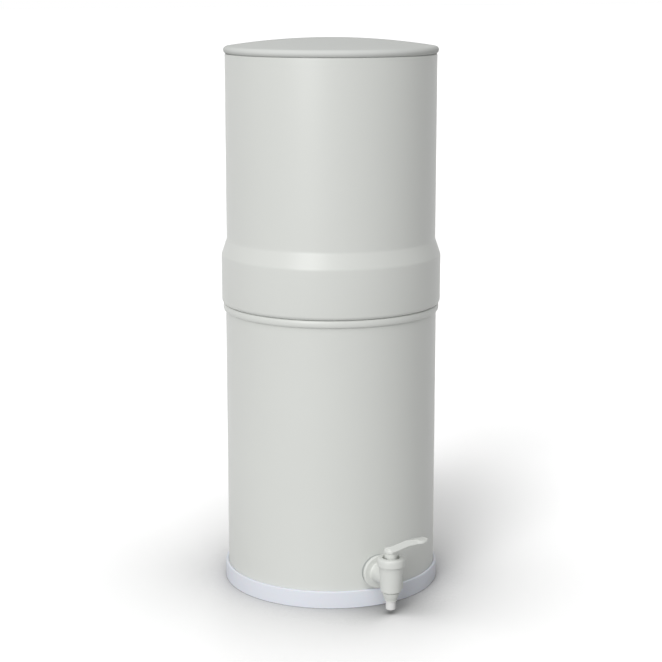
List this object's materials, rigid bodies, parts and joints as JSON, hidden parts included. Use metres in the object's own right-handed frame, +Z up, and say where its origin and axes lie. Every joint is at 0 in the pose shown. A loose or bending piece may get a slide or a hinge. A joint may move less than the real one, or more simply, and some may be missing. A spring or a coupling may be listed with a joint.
{
  "type": "gravity water filter",
  "caption": "Tall round countertop gravity water filter: a lidded upper chamber with ceramic candles nests on a lower chamber with a lever tap at its foot.",
  "frame": {"origin": "middle of the foot ring's underside, on the vessel's axis", "axes": "+Z up along the vessel's axis; the tap stands out towards -Y; +X is to the right of someone facing the tap"},
  "size_m": [0.2176, 0.2871, 0.5453],
  "materials": {
    "powder_coated_steel": "matt pale grey powder coat outside, bare brushed steel inside",
    "brushed_steel": "bare brushed stainless steel",
    "silicone_ring": "smooth translucent white silicone",
    "tap_plastic": "satin moulded polypropylene",
    "nozzle_plastic": "satin white moulded polypropylene",
    "white_plastic": "satin white moulded plastic",
    "silicone_gasket": "matt grey silicone",
    "silicone_cup": "matt cream silicone",
    "o_ring_rubber": "matt black nitrile rubber",
    "ceramic": "unglazed fired ceramic",
    "carbon_block": "pressed activated carbon",
    "spring_steel": "drawn stainless spring wire"
  },
  "bodies": {
    "root": {"base_ring": "silicone_ring", "lower_chamber": "powder_coated_steel", "tap_body": "tap_plastic", "tap_outer_gasket": "silicone_gasket", "tap_inner_gasket": "silicone_gasket", "tap_backnut": "white_plastic", "tap_bonnet": "tap_plastic", "bonnet_o_ring": "o_ring_rubber", "valve_spring": "spring_steel", "outlet_collar": "tap_plastic", "nozzle": "nozzle_plastic"},
    "upper": {"upper_chamber": "powder_coated_steel", "candle_shell_left": "ceramic", "candle_shell_right": "ceramic", "candle_core_left": "carbon_block", "candle_core_right": "carbon_block", "candle_base_left": "white_plastic", "candle_base_right": "white_plastic", "candle_washers": "silicone_gasket", "wing_nuts": "white_plastic"},
    "lid": {"lid": "powder_coated_steel", "lid_locating_ring": "brushed_steel"},
    "swivel": {"thrust_ring": "white_plastic"},
    "lever": {"lever": "tap_plastic"},
    "stem": {"valve_stem": "white_plastic", "lever_pin": "brushed_steel", "seat_cup": "silicone_cup"}
  },
  "joints": [
    {"name": "upper_lift", "type": "slide", "parent": "root", "child": "upper", "axis": [0, 0, 1], "range_m": [0, 0.12]},
    {"name": "lid_lift", "type": "slide", "parent": "upper", "child": "lid", "axis": [0, 0, 1], "range_m": [0, 0.16]},
    {"name": "lever_swivel", "type": "hinge", "parent": "root", "child": "swivel", "pos_m": [0, -0.134, 0.0539], "axis": [0, 0, 1], "range_deg": [-134, 96]},
    {"name": "lever_tilt", "type": "hinge", "parent": "swivel", "child": "lever", "pos_m": [0.00177, -0.13915, 0.0539], "axis": [0.9455, 0.3256, 0], "range_deg": [0, 18], "stiffness_Nm_per_rad": 0.6, "springref_deg": -11.46},
    {"name": "stem_lift", "type": "slide", "parent": "swivel", "child": "stem", "axis": [0, 0, 1], "range_m": [0, 0.0019], "deforming": ["valve_spring"]}
  ],
  "couplings": [
    {"joint": "stem_lift", "follows": "lever_tilt", "m_per_rad": 0.006}
  ]
}
